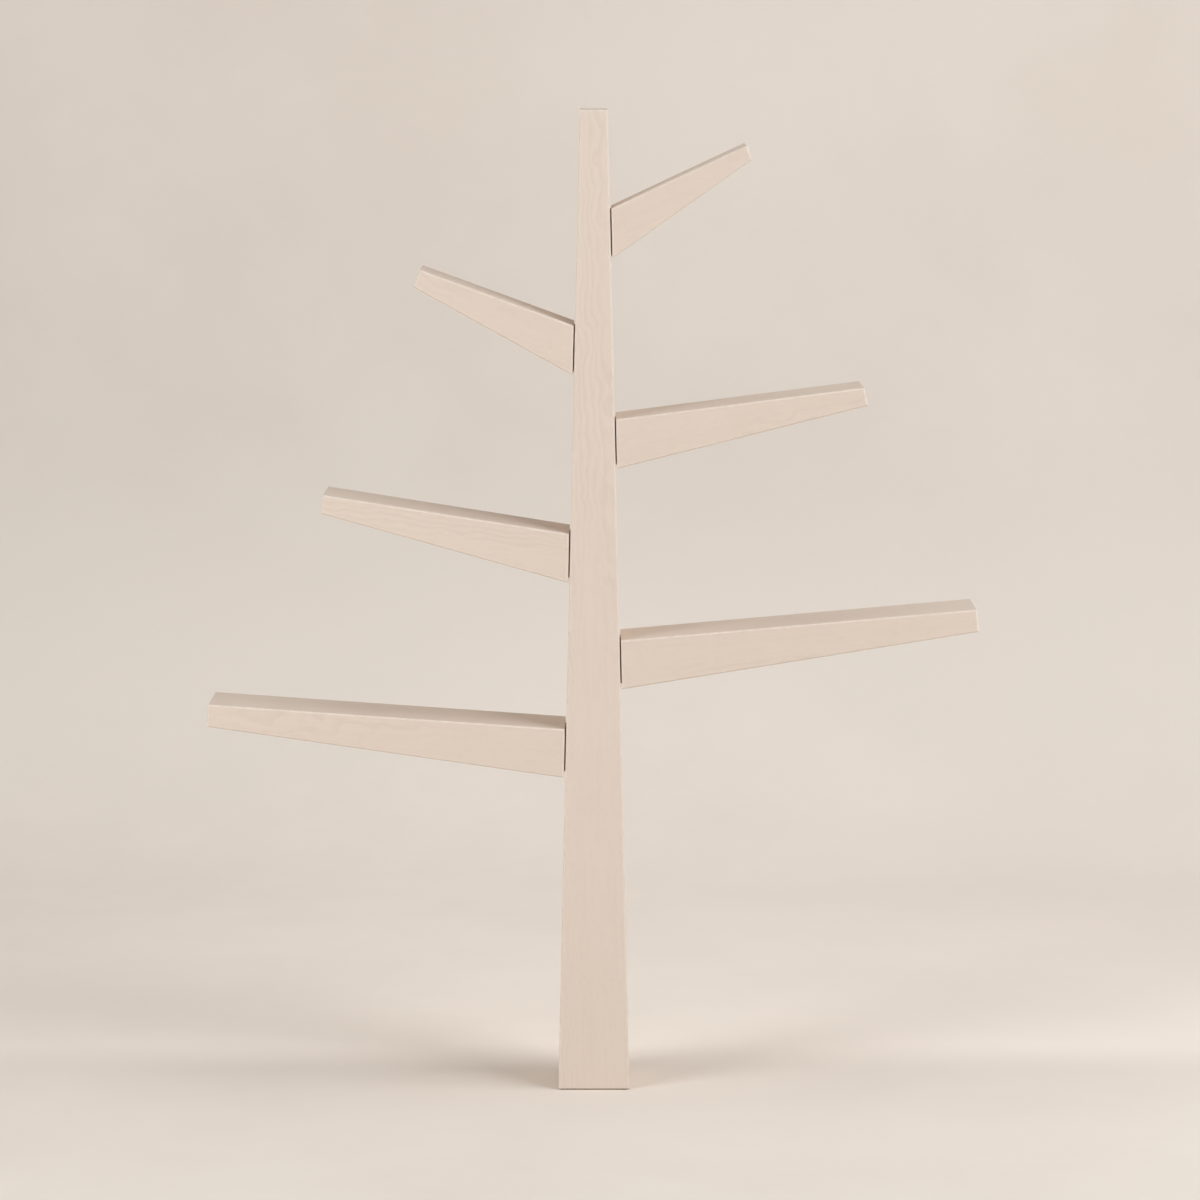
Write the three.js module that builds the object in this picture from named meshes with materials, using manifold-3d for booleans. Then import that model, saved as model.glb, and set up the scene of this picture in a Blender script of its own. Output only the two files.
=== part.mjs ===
// A tree shaped bookshelf: a tapered timber trunk that carries six wedge shaped branches.
// Each branch ends in a tenon that sits in a mortise in the trunk, and a bolt from the trunk's far side
// pulls on a barrel nut in the branch. The shoulders stay clear of the trunk and leave a shadow gap.
// Millimetres, +X to the right, +Y to the back, +Z up. The origin is the centre of the foot, on the floor.
import * as THREE from "three";
import { mergeVertices } from "three/addons/utils/BufferGeometryUtils.js";
import Module from "manifold-3d";

// Trunk
const trunkFootWidth = 117;
const trunkTopWidth = 45;
const timberDepth = 150; // front to back, of the trunk and of the branches
const edgeRadius = 2; // round of the long edges, front and back
const cornerRadius = 2.4; // round of the corners seen from the front

// Foot pad
const padHeight = 1.2;
const padInset = 4;

// Branches: root height and shadow gap are the same for all
const rootHeight = 80;
const shadowGap = 2;
const leftLowerHeight = 598; // of the top edge at the root, above the floor
const rightLowerStep = 145.5; // from the branch below it
const leftMiddleStep = 174;
const rightMiddleStep = 185.5;
const leftUpperStep = 151;
const rightUpperStep = 188;
const crownStep = 158; // from the highest branch to the top of the trunk
const rightUpperLength = 240; // along the top edge
const leftUpperLength = 264;
const rightMiddleLength = 404;
const leftMiddleLength = 403;
const rightLowerLength = 580;
const leftLowerLength = 581.5;
const rightUpperTip = 24.6; // length of the tip's slanting edge
const leftUpperTip = 30;
const rightMiddleTip = 29.8;
const leftMiddleTip = 30.5;
const lowerTip = 36.6;

// Tenon and mortise
const tenonThickness = 32;
const tenonInset = 2; // the tenon is this much lower than the root, above and below
const mortiseShare = 0.45; // of the trunk's width at the bolt
const fitGap = 0.25; // clearance round every piece that is let into another

// Bolt, barrel nut and cover
const boltRadius = 4;
const boltHeadRadius = 8.5;
const boltHeadHeight = 4;
const boltHeadRound = 1;
const boltTail = 3; // the bolt stands out this much beyond the nut
const boltHeightShare = 0.6; // of the root height, from below
const socketWidth = 5; // across the flats
const socketDepth = 3;
const boreClearance = 0.5;
const counterboreRadius = 10;
const counterboreDepth = 12;
const nutRadius = 7;
const nutLength = 20;
const nutDistance = 30; // from the shoulder to the nut's centre
const nutSlotWidth = 1.6;
const nutSlotDepth = 2;

// Keyhole plates let into the back
const upperPlateDrop = 100; // below the top of the trunk
const lowerPlateHeight = 320;
const plateWidth = 24;
const plateLength = 64;
const plateThickness = 2;
const plateRadius = 4;
const keyholeRadius = 5.5;
const keyslotRadius = 2.6;
const keyslotRise = 11; // from the keyhole's centre to the slot's upper end
const pocketWidth = 15;
const pocketLength = 32;
const pocketDepth = 12;
const screwSpacing = 50;
const screwRadius = 2;
const screwHeadRadius = 4;
const screwHeadDepth = 1.9;
const screwLength = 20;
const screwPoint = 4;
const crossWidth = 1;
const crossLength = 4.4;
const crossDepth = 1.2;

// How finely round shapes are drawn, and how far a cutter runs past the face that it cuts
const roundSteps = 2;
const boreSides = 20;
const cutterOverrun = 5;
const weldDistance = 0.001;

// Heights above the floor
const rightLowerHeight = leftLowerHeight + rightLowerStep;
const leftMiddleHeight = rightLowerHeight + leftMiddleStep;
const rightMiddleHeight = leftMiddleHeight + rightMiddleStep;
const leftUpperHeight = rightMiddleHeight + leftUpperStep;
const rightUpperHeight = leftUpperHeight + rightUpperStep;
const treeHeight = rightUpperHeight + crownStep;
const upperPlateHeight = treeHeight - upperPlateDrop;

// Rise is the slope of the top edge, and lean the slant of the tip from upright, in degrees.
const branches = [
  {
    name: "right_upper", turn: 0, rise: 25, lean: 19,
    height: rightUpperHeight, length: rightUpperLength, tip: rightUpperTip,
  },
  {
    name: "left_upper", turn: 180, rise: 20, lean: 18,
    height: leftUpperHeight, length: leftUpperLength, tip: leftUpperTip,
  },
  {
    name: "right_middle", turn: 0, rise: 7.3, lean: 12,
    height: rightMiddleHeight, length: rightMiddleLength, tip: rightMiddleTip,
  },
  {
    name: "left_middle", turn: 180, rise: 9, lean: 5,
    height: leftMiddleHeight, length: leftMiddleLength, tip: leftMiddleTip,
  },
  {
    name: "right_lower", turn: 0, rise: 5, lean: 5,
    height: rightLowerHeight, length: rightLowerLength, tip: lowerTip,
  },
  {
    name: "left_lower", turn: 180, rise: 4, lean: 4,
    height: leftLowerHeight, length: leftLowerLength, tip: lowerTip,
  },
];

const timber = { color: 0xdecdbd, roughness: 0.6, metalness: 0 };
const steel = { color: 0xb9bbbd, roughness: 0.35, metalness: 1 };
const rubber = { color: 0x1c1b1a, roughness: 0.9, metalness: 0 };

const wasm = await Module();
wasm.setup();

// Solids: a three.js geometry as a manifold and back

function solidOf(geometry) {
  const bare = geometry.clone();
  bare.deleteAttribute("normal");
  bare.deleteAttribute("uv");
  const merged = mergeVertices(bare, weldDistance);
  const vertProperties = new Float32Array(merged.attributes.position.array);
  const triVerts = new Uint32Array(merged.index.array);
  return new wasm.Manifold(new wasm.Mesh({ numProp: 3, vertProperties, triVerts }));
}

function geometryOf(solid) {
  const { vertProperties, triVerts } = solid.getMesh();
  const geometry = new THREE.BufferGeometry();
  geometry.setAttribute("position", new THREE.BufferAttribute(vertProperties, 3));
  geometry.setIndex(new THREE.BufferAttribute(triVerts, 1));
  const faceted = geometry.toNonIndexed();
  faceted.computeVertexNormals();
  return faceted;
}

function cut(geometry, cutters) {
  let solid = solidOf(geometry);
  for (const cutter of cutters) solid = solid.subtract(solidOf(cutter));
  return geometryOf(solid);
}

function join(first, second) {
  return geometryOf(solidOf(first).add(solidOf(second)));
}

function common(first, second) {
  return geometryOf(solidOf(first).intersect(solidOf(second)));
}

// Simple shapes

const point = (x, z) => new THREE.Vector2(x, z);

// A polygon with an arc at each corner.
function roundedShape(corners, radius) {
  const ring = THREE.ShapeUtils.isClockWise(corners) ? [...corners].reverse() : corners;
  const shape = new THREE.Shape();
  ring.forEach((corner, i) => {
    const back = ring.at(i - 1).clone().sub(corner).normalize();
    const ahead = ring[(i + 1) % ring.length].clone().sub(corner).normalize();
    const halfAngle = Math.acos(back.dot(ahead)) / 2;
    const inward = back.clone().add(ahead).setLength(radius / Math.sin(halfAngle));
    const centre = corner.clone().add(inward);
    const startAngle = Math.atan2(back.x, -back.y);
    const endAngle = Math.atan2(-ahead.x, ahead.y);
    shape.absarc(centre.x, centre.y, radius, startAngle, endAngle, false);
  });
  return shape;
}

function rectangle(width, height) {
  const [x, z] = [width / 2, height / 2];
  return [point(-x, -z), point(x, -z), point(x, z), point(-x, z)];
}

// A shape drawn in x and z, with its thickness along y from front to back.
function board(shape, front, back, edgeRound = 0) {
  const thickness = back - front;
  const geometry = new THREE.ExtrudeGeometry(shape, {
    depth: thickness - 2 * edgeRound,
    bevelEnabled: edgeRound > 0,
    bevelThickness: edgeRound,
    bevelSize: edgeRound,
    bevelOffset: -edgeRound,
    bevelSegments: 2 * roundSteps,
    curveSegments: roundSteps,
  });
  return geometry.rotateX(Math.PI / 2).translate(0, back - edgeRound, 0);
}

function block(x0, x1, y0, y1, z0, z1) {
  const geometry = new THREE.BoxGeometry(x1 - x0, y1 - y0, z1 - z0);
  return geometry.translate((x0 + x1) / 2, (y0 + y1) / 2, (z0 + z1) / 2);
}

function rodAlongX(radius, x0, x1, z) {
  const geometry = new THREE.CylinderGeometry(radius, radius, x1 - x0, boreSides);
  return geometry.rotateZ(Math.PI / 2).translate((x0 + x1) / 2, 0, z);
}

function rodAlongY(radius, y0, y1, z) {
  const geometry = new THREE.CylinderGeometry(radius, radius, y1 - y0, boreSides);
  return geometry.translate(0, (y0 + y1) / 2, z);
}

function rodAlongZ(radius, x, z0, z1) {
  const geometry = new THREE.CylinderGeometry(radius, radius, z1 - z0, boreSides);
  return geometry.rotateX(Math.PI / 2).translate(x, 0, (z0 + z1) / 2);
}

function named(name, geometry, finish) {
  const mesh = new THREE.Mesh(geometry, new THREE.MeshStandardMaterial(finish));
  mesh.name = name;
  return mesh;
}

// Trunk

function halfWidthAt(z) {
  const share = (z - padHeight) / (treeHeight - padHeight);
  return THREE.MathUtils.lerp(trunkFootWidth, trunkTopWidth, share) / 2;
}

function trunkBlank() {
  const [foot, top] = [trunkFootWidth / 2, trunkTopWidth / 2];
  const lower = [point(-foot, padHeight), point(foot, padHeight)];
  const upper = [point(top, treeHeight), point(-top, treeHeight)];
  const outline = roundedShape([...lower, ...upper], cornerRadius);
  return board(outline, -timberDepth / 2, timberDepth / 2, edgeRadius);
}

// Where a branch and its fasteners lie, measured outwards from the trunk's centre and up from the floor.
function jointOf(branch) {
  const rootBottom = branch.height - rootHeight;
  const boltHeight = rootBottom + boltHeightShare * rootHeight;
  const face = halfWidthAt(boltHeight);
  const nut = face + shadowGap + nutDistance;
  return {
    rootBottom,
    boltHeight,
    face,
    nut,
    mortiseFloor: face - mortiseShare * 2 * face,
    tenonTop: branch.height - tenonInset,
    tenonBottom: rootBottom + tenonInset,
    seat: counterboreDepth - face,
    head: counterboreDepth - face - fitGap,
    boltEnd: nut + nutRadius + boltTail,
  };
}

function mortiseCutters(branch) {
  const at = jointOf(branch);
  const halfTenon = tenonThickness / 2 + fitGap;
  const outside = at.face + cutterOverrun;
  const cutters = [
    block(at.mortiseFloor, outside, -halfTenon, halfTenon, at.tenonBottom - fitGap, at.tenonTop + fitGap),
    rodAlongX(boltRadius + boreClearance, at.seat - fitGap, at.mortiseFloor + cutterOverrun, at.boltHeight),
    rodAlongX(counterboreRadius, -outside, at.seat, at.boltHeight),
  ];
  return cutters.map((cutter) => cutter.rotateZ(THREE.MathUtils.degToRad(branch.turn)));
}

function plateCutters(height) {
  const back = timberDepth / 2;
  const floor = back - plateThickness - fitGap;
  const recess = rectangle(plateWidth + 2 * fitGap, plateLength + 2 * fitGap);
  const halfPocket = pocketLength / 2;
  const cutters = [
    board(roundedShape(recess, plateRadius + fitGap), floor, back + cutterOverrun),
    block(-pocketWidth / 2, pocketWidth / 2, back - pocketDepth, back, -halfPocket, halfPocket),
  ];
  for (const z of [-screwSpacing / 2, screwSpacing / 2]) {
    cutters.push(rodAlongY(screwRadius + fitGap, back - screwLength - fitGap, back, z));
  }
  return cutters.map((cutter) => cutter.translate(0, 0, height));
}

function makeTrunk() {
  const mortises = branches.flatMap(mortiseCutters);
  const plates = [upperPlateHeight, lowerPlateHeight].flatMap(plateCutters);
  return named("trunk", cut(trunkBlank(), [...mortises, ...plates]), timber);
}

function makeFootPad() {
  const width = trunkFootWidth - 2 * padInset;
  const length = timberDepth - 2 * padInset;
  const [x, y] = [width / 2, length / 2];
  return named("foot_pad", block(-x, x, -y, y, 0, padHeight), rubber);
}

// Branch

// The wedge seen from the front: shoulder, top edge, slanting tip and underside.
function branchOutline(branch) {
  const rise = THREE.MathUtils.degToRad(branch.rise);
  const lean = THREE.MathUtils.degToRad(branch.lean);
  const along = point(Math.cos(rise), Math.sin(rise));
  const down = point(Math.sin(lean), -Math.cos(lean));
  const { rootBottom } = jointOf(branch);
  const rootTop = point(halfWidthAt(branch.height) + shadowGap, branch.height);
  const tipTop = rootTop.clone().addScaledVector(along, branch.length);
  const tipBottom = tipTop.clone().addScaledVector(down, branch.tip);
  return [rootTop, tipTop, tipBottom, point(halfWidthAt(rootBottom) + shadowGap, rootBottom)];
}

function makeBranch(branch) {
  const at = jointOf(branch);
  const half = timberDepth / 2;
  const wedge = board(roundedShape(branchOutline(branch), cornerRadius), -half, half, edgeRadius);
  const halfTenon = tenonThickness / 2;
  const tenonEnd = at.mortiseFloor + fitGap;
  const insideRoot = at.face + shadowGap + tenonInset;
  const tenon = block(tenonEnd, insideRoot, -halfTenon, halfTenon, at.tenonBottom, at.tenonTop);
  const cutters = [
    rodAlongX(boltRadius + boreClearance, tenonEnd - cutterOverrun, at.boltEnd + fitGap, at.boltHeight),
    rodAlongZ(nutRadius + fitGap, at.nut, at.rootBottom, at.boltHeight + nutLength / 2 + fitGap),
  ];
  return named("branch_" + branch.name, cut(join(wedge, tenon), cutters), timber);
}

// Fasteners of a branch

// The profile turns round the bolt's own axis: the flat head above zero and the shank below.
function makeBolt(branch) {
  const at = jointOf(branch);
  const length = at.boltEnd - at.head;
  const profile = new THREE.Path();
  profile.moveTo(0, -length);
  profile.lineTo(boltRadius, -length);
  profile.lineTo(boltRadius, 0);
  profile.lineTo(boltHeadRadius, 0);
  profile.lineTo(boltHeadRadius, boltHeadHeight - boltHeadRound);
  const roundCentre = point(boltHeadRadius - boltHeadRound, boltHeadHeight - boltHeadRound);
  profile.absarc(roundCentre.x, roundCentre.y, boltHeadRound, 0, Math.PI / 2);
  profile.lineTo(0, boltHeadHeight);
  const turned = new THREE.LatheGeometry(profile.getPoints(roundSteps), boreSides);
  const socketRadius = socketWidth / Math.sqrt(3);
  const socket = new THREE.CylinderGeometry(socketRadius, socketRadius, 2 * socketDepth, 6);
  socket.translate(0, boltHeadHeight, 0);
  const bolt = named("bolt_" + branch.name, cut(turned, [socket]), steel);
  bolt.rotation.z = Math.PI / 2;
  bolt.position.set(at.head, 0, at.boltHeight);
  return bolt;
}

function makeBarrelNut(branch) {
  const at = jointOf(branch);
  const [half, halfSlot] = [nutLength / 2, nutSlotWidth / 2];
  const cutters = [
    rodAlongX(boltRadius + fitGap, -nutRadius - cutterOverrun, nutRadius + cutterOverrun, 0),
    block(-nutRadius, nutRadius, -halfSlot, halfSlot, -half - cutterOverrun, -half + nutSlotDepth),
  ];
  const nut = named("barrel_nut_" + branch.name, cut(rodAlongZ(nutRadius, 0, -half, half), cutters), steel);
  nut.position.set(at.nut, 0, at.boltHeight);
  return nut;
}

// A plug cut flush with the trunk's sloping side.
function makeBoltCover(branch) {
  const at = jointOf(branch);
  const inner = at.head - boltHeadHeight - fitGap;
  const plug = rodAlongX(counterboreRadius - fitGap, -at.face - cutterOverrun, inner, at.boltHeight);
  return named("bolt_cover_" + branch.name, common(plug, trunkBlank()), timber);
}

function makeLimb(branch) {
  const limb = new THREE.Group();
  limb.rotation.z = THREE.MathUtils.degToRad(branch.turn);
  limb.add(makeBranch(branch), makeBolt(branch), makeBarrelNut(branch), makeBoltCover(branch));
  return limb;
}

// Keyhole plates and their screws

function makePlate(name) {
  const blank = board(roundedShape(rectangle(plateWidth, plateLength), plateRadius), -plateThickness, 0);
  const [front, back] = [-plateThickness - cutterOverrun, cutterOverrun];
  const cutters = [
    rodAlongY(keyholeRadius, front, back, -keyslotRise / 2),
    rodAlongY(keyslotRadius, front, back, keyslotRise / 2),
    block(-keyslotRadius, keyslotRadius, front, back, -keyslotRise / 2, keyslotRise / 2),
  ];
  const sinkRadius = screwHeadRadius + fitGap;
  for (const z of [-screwSpacing / 2, screwSpacing / 2]) {
    const sink = new THREE.CylinderGeometry(sinkRadius, screwRadius + fitGap, screwHeadDepth, boreSides);
    cutters.push(sink.translate(0, -screwHeadDepth / 2, z));
    cutters.push(rodAlongY(screwRadius + fitGap, front, 0, z));
  }
  return named("hanger_plate_" + name, cut(blank, cutters), steel);
}

function makeScrew(name, z) {
  const shankEnd = screwPoint - screwLength;
  const profile = [
    point(0, -screwLength),
    point(screwRadius, shankEnd),
    point(screwRadius, -screwHeadDepth),
    point(screwHeadRadius, 0),
    point(0, 0),
  ];
  const turned = new THREE.LatheGeometry(profile, boreSides);
  const [half, halfWidth] = [crossLength / 2, crossWidth / 2];
  const cross = [
    block(-half, half, -crossDepth, cutterOverrun, -halfWidth, halfWidth),
    block(-halfWidth, halfWidth, -crossDepth, cutterOverrun, -half, half),
  ];
  const screw = named("hanger_screw_" + name, cut(turned, cross), steel);
  screw.position.z = z;
  return screw;
}

function makeHanger(name, height) {
  const hanger = new THREE.Group();
  hanger.position.set(0, timberDepth / 2, height);
  hanger.add(makePlate(name));
  hanger.add(makeScrew(name + "_top", screwSpacing / 2), makeScrew(name + "_bottom", -screwSpacing / 2));
  return hanger;
}

const bookshelf = new THREE.Group();
bookshelf.add(makeFootPad(), makeTrunk());
bookshelf.add(...branches.map(makeLimb));
bookshelf.add(makeHanger("upper", upperPlateHeight), makeHanger("lower", lowerPlateHeight));

export default bookshelf;
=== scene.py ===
import math

import bmesh
import bpy
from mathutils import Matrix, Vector


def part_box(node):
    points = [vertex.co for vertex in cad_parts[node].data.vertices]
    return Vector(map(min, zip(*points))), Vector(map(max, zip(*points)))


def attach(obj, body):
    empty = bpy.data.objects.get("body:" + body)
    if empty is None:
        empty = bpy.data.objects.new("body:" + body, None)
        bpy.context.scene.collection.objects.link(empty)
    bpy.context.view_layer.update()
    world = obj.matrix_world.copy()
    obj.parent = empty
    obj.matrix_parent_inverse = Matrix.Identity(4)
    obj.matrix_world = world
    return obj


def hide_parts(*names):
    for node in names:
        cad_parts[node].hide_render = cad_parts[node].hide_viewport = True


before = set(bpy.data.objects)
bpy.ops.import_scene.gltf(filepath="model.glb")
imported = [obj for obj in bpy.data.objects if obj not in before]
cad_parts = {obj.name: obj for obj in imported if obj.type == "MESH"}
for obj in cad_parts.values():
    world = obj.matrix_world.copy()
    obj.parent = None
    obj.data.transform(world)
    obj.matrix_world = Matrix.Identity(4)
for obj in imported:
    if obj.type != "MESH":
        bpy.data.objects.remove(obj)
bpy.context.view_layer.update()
print("frame:", len(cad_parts), "nodes")

# Metres throughout. +X is to the right, +Y to the back and +Z up, and the floor is at zero.
tiny = 0.00001


def centreOf(node):
    low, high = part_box(node)
    return (low + high) / 2


def sizeOf(node):
    low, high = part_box(node)
    return high - low


# Camera

viewpoint = {
    "focalLength": 140,  # millimetres, as on the lens
    "sensorWidth": 36,
    "place": (0.00995, -7.580, 1.718),
    "tiltDown": 6.9,  # degrees
}


def placeCamera(plan):
    data = bpy.data.cameras.new("viewpoint")
    data.lens = plan["focalLength"]
    data.sensor_width = plan["sensorWidth"]
    camera = bpy.data.objects.new("viewpoint", data)
    bpy.context.scene.collection.objects.link(camera)
    camera.location = plan["place"]
    camera.rotation_euler = (math.radians(90 - plan["tiltDown"]), 0, 0)
    bpy.context.scene.camera = camera


placeCamera(viewpoint)


# Shader helpers

def link(tree, source, target):
    tree.links.new(source, target)


def addNode(tree, kind, **settings):
    node = tree.nodes.new(kind)
    for key, value in settings.items():
        setattr(node, key, value)
    return node


def feed(tree, node, **inputs):
    # Each keyword names an input socket, with _ for a space, and gives a socket or a constant.
    for key, value in inputs.items():
        socket = node.inputs[key.replace("_", " ")]
        if isinstance(value, bpy.types.NodeSocket):
            link(tree, value, socket)
        else:
            socket.default_value = value
    return node


def math2(tree, operation, first, second):
    node = addNode(tree, "ShaderNodeMath", operation=operation)
    for socket, value in zip(node.inputs, (first, second)):
        if isinstance(value, bpy.types.NodeSocket):
            link(tree, value, socket)
        else:
            socket.default_value = value
    return node.outputs[0]


def scaled(tree, vector, scale):
    node = addNode(tree, "ShaderNodeVectorMath", operation="MULTIPLY")
    link(tree, vector, node.inputs[0])
    node.inputs[1].default_value = scale
    return node.outputs[0]


def noise(tree, vector, scale, detail=2.0, roughness=0.5):
    node = addNode(tree, "ShaderNodeTexNoise")
    feed(tree, node, Vector=vector, Scale=scale, Detail=detail, Roughness=roughness)
    return node.outputs


def spread(tree, value, low, high, newLow=0.0, newHigh=1.0):
    node = addNode(tree, "ShaderNodeMapRange", clamp=True, interpolation_type="SMOOTHSTEP")
    feed(tree, node, Value=value, From_Min=low, From_Max=high, To_Min=newLow, To_Max=newHigh)
    return node.outputs["Result"]


def mixColour(tree, factor, first, second):
    node = addNode(tree, "ShaderNodeMix", data_type="RGBA")
    for socket, value in ((node.inputs[0], factor), (node.inputs[6], first), (node.inputs[7], second)):
        if isinstance(value, bpy.types.NodeSocket):
            link(tree, value, socket)
        else:
            socket.default_value = value
    return node.outputs[2]


def colour(red, green, blue):
    return (red, green, blue, 1.0)


def newGroup(name, inputs, outputs):
    group = bpy.data.node_groups.new(name, "ShaderNodeTree")
    for socketName, kind, default in inputs:
        socket = group.interface.new_socket(socketName, in_out="INPUT", socket_type=kind)
        if default is not None:
            socket.default_value = default
    for socketName, kind in outputs:
        group.interface.new_socket(socketName, in_out="OUTPUT", socket_type=kind)
    return group, addNode(group, "NodeGroupInput").outputs, addNode(group, "NodeGroupOutput").inputs


def placed(tree, group, **inputs):
    node = addNode(tree, "ShaderNodeGroup")
    node.node_tree = group
    return feed(tree, node, **inputs)


def newMaterial(name):
    material = bpy.data.materials.new(name)
    material.use_nodes = True
    tree = material.node_tree
    return material, tree, tree.nodes["Principled BSDF"]


number, vector3, rgba = "NodeSocketFloat", "NodeSocketVector", "NodeSocketColor"


# Timber: growth rings round a heart that runs along X, with fibres and pores drawn out along it.

figurePlan = {  # stretches are along, across and up the grain
    "driftStretch": (0.11, 1.0, 1.0),
    "driftScale": 8.0,
    "waverStretch": (15.0, 28.0, 28.0),
    "bandStretch": (1.3, 15.0, 15.0),
    "streakStretch": (4.0, 150.0, 150.0),
    "fibreStretch": (7.0, 420.0, 420.0),
    "poreStretch": (55.0, 1500.0, 1500.0),
    "ringSwell": (0.25, 0.80),  # from and to which share of its width a ring darkens
    "ringEbb": (0.85, 1.0),  # and where it pales again
    "bandEdges": (0.46, 0.64),
    "faintest": 0.12,  # how much of the rings is left between the bands
    "poreEdges": (0.60, 0.72),
}


def moved(group, vector, colourNoise, amount):
    # Shifts the vector by a noise colour that is centred on zero, times the amount.
    centred = addNode(group, "ShaderNodeVectorMath", operation="SUBTRACT")
    link(group, colourNoise, centred.inputs[0])
    centred.inputs[1].default_value = (0.5, 0.5, 0.5)
    sized = addNode(group, "ShaderNodeVectorMath", operation="SCALE")
    link(group, centred.outputs[0], sized.inputs[0])
    link(group, amount, sized.inputs["Scale"])
    total = addNode(group, "ShaderNodeVectorMath", operation="ADD")
    link(group, vector, total.inputs[0])
    link(group, sized.outputs[0], total.inputs[1])
    return total.outputs[0]


def makeFigureGroup(plan):
    group, given, out = newGroup("timberFigure", [
        ("Place", vector3, None),
        ("Ring Spacing", number, 0.005),
        ("Wander", number, 0.016),
        ("Waver", number, 0.012),
    ], [("Rings", number), ("Streaks", number), ("Fibres", number), ("Pores", number)])
    place = given["Place"]
    drift = noise(group, scaled(group, place, plan["driftStretch"]), plan["driftScale"])["Color"]
    waver = noise(group, scaled(group, place, plan["waverStretch"]), 1.0)["Color"]
    bent = moved(group, moved(group, place, drift, given["Wander"]), waver, given["Waver"])
    flat = addNode(group, "ShaderNodeSeparateXYZ")
    link(group, bent, flat.inputs[0])
    across = math2(group, "POWER", flat.outputs["Y"], 2.0)
    upward = math2(group, "POWER", flat.outputs["Z"], 2.0)
    radius = math2(group, "SQRT", math2(group, "ADD", across, upward), 0.0)
    phase = math2(group, "FRACT", math2(group, "DIVIDE", radius, given["Ring Spacing"]), 0.0)
    swell = spread(group, phase, *plan["ringSwell"])
    ebb = spread(group, phase, *plan["ringEbb"], 1.0, 0.0)
    # The rings show clearly in some bands of the board and hardly in others.
    bandNoise = noise(group, scaled(group, place, plan["bandStretch"]), 1.0)["Fac"]
    bands = spread(group, bandNoise, *plan["bandEdges"], plan["faintest"], 1.0)
    link(group, math2(group, "MULTIPLY", math2(group, "MULTIPLY", swell, ebb), bands), out["Rings"])
    link(group, noise(group, scaled(group, place, plan["streakStretch"]), 1.0)["Fac"], out["Streaks"])
    fibres = noise(group, scaled(group, place, plan["fibreStretch"]), 1.0, detail=3.0, roughness=0.6)["Fac"]
    link(group, fibres, out["Fibres"])
    dashes = noise(group, scaled(group, place, plan["poreStretch"]), 1.0, detail=1.0)["Fac"]
    link(group, spread(group, dashes, *plan["poreEdges"]), out["Pores"])
    return group


# A thin white wash: it lies thicker here and thinner there, and it is paler along the edges, partly from
# wear and partly as a painted highlight.

washPlan = {
    "cloudScale": 7.0,
    "brushStretch": (3.0, 60.0, 60.0),  # along, across and up the grain
    "cloudShare": 0.6,
    "brushShare": 0.4,
    "thinEdges": (0.35, 0.68),
    "scuffScale": 90.0,
    "scuffEdges": (0.35, 0.65),
    "faintestScuff": 0.35,
}


def makeWashGroup(plan):
    group, given, out = newGroup("whiteWash", [
        ("Place", vector3, None),
        ("Timber", rgba, colour(0.6, 0.45, 0.33)),
        ("Wash", rgba, colour(0.8, 0.72, 0.62)),
        ("Rubbed", rgba, colour(0.85, 0.77, 0.67)),
        ("Wear", number, 0.0),
        ("Thinness", number, 0.12),
    ], [("Color", rgba)])
    place = given["Place"]
    clouds = noise(group, place, plan["cloudScale"], detail=3.0)["Fac"]
    brushed = noise(group, scaled(group, place, plan["brushStretch"]), 1.0)["Fac"]
    uneven = math2(group, "ADD", math2(group, "MULTIPLY", clouds, plan["cloudShare"]),
                   math2(group, "MULTIPLY", brushed, plan["brushShare"]))
    thin = math2(group, "MULTIPLY", spread(group, uneven, *plan["thinEdges"]), given["Thinness"])
    scuffNoise = noise(group, place, plan["scuffScale"], detail=3.0, roughness=0.6)["Fac"]
    scuffs = spread(group, scuffNoise, *plan["scuffEdges"], plan["faintestScuff"], 1.0)
    washed = mixColour(group, thin, given["Wash"], given["Timber"])
    # Painted highlight and wear: the marked edges are mixed towards the paler colour.
    wornHighlight = math2(group, "MULTIPLY", given["Wear"], scuffs)
    link(group, mixColour(group, wornHighlight, washed, given["Rubbed"]), out["Color"])
    return group


figureGroup = makeFigureGroup(figurePlan)
washGroup = makeWashGroup(washPlan)

timberLook = {
    "branchWash": colour(0.741, 0.619, 0.516),
    "trunkWash": colour(0.754, 0.635, 0.536),
    "wornHighlight": colour(0.800, 0.690, 0.588),  # along the upper and upright edges: wear, and a painted highlight
    "timber": colour(0.640, 0.520, 0.410),
    "ringShade": colour(0.560, 0.455, 0.360),
    "poreShade": colour(0.450, 0.350, 0.265),
    "ringDepth": 0.17,  # how far rings, streaks and fibres go towards the ring shade
    "streakDepth": 0.04,
    "fibreDepth": 0.04,
    "ringSpacing": 0.0052,
    "wander": 0.022,
    "waver": 0.018,
    "poreDepth": 0.12,
    "streakEdges": (0.3, 0.7),
    "fibreEdges": (0.2, 0.8),
    "roughness": (0.66, 0.80),  # on fine fibres and between them
    "poreRoughness": 0.1,
    "wearGloss": 0.12,
    "relief": {"fibres": 0.5, "rings": 0.5, "pores": 0.6},
    "bumpStrength": 0.35,
    "bumpDistance": 0.00025,
    "ior": 1.45,
    "specular": 0.2,  # a chalky finish, with hardly any gloss
}


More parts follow.
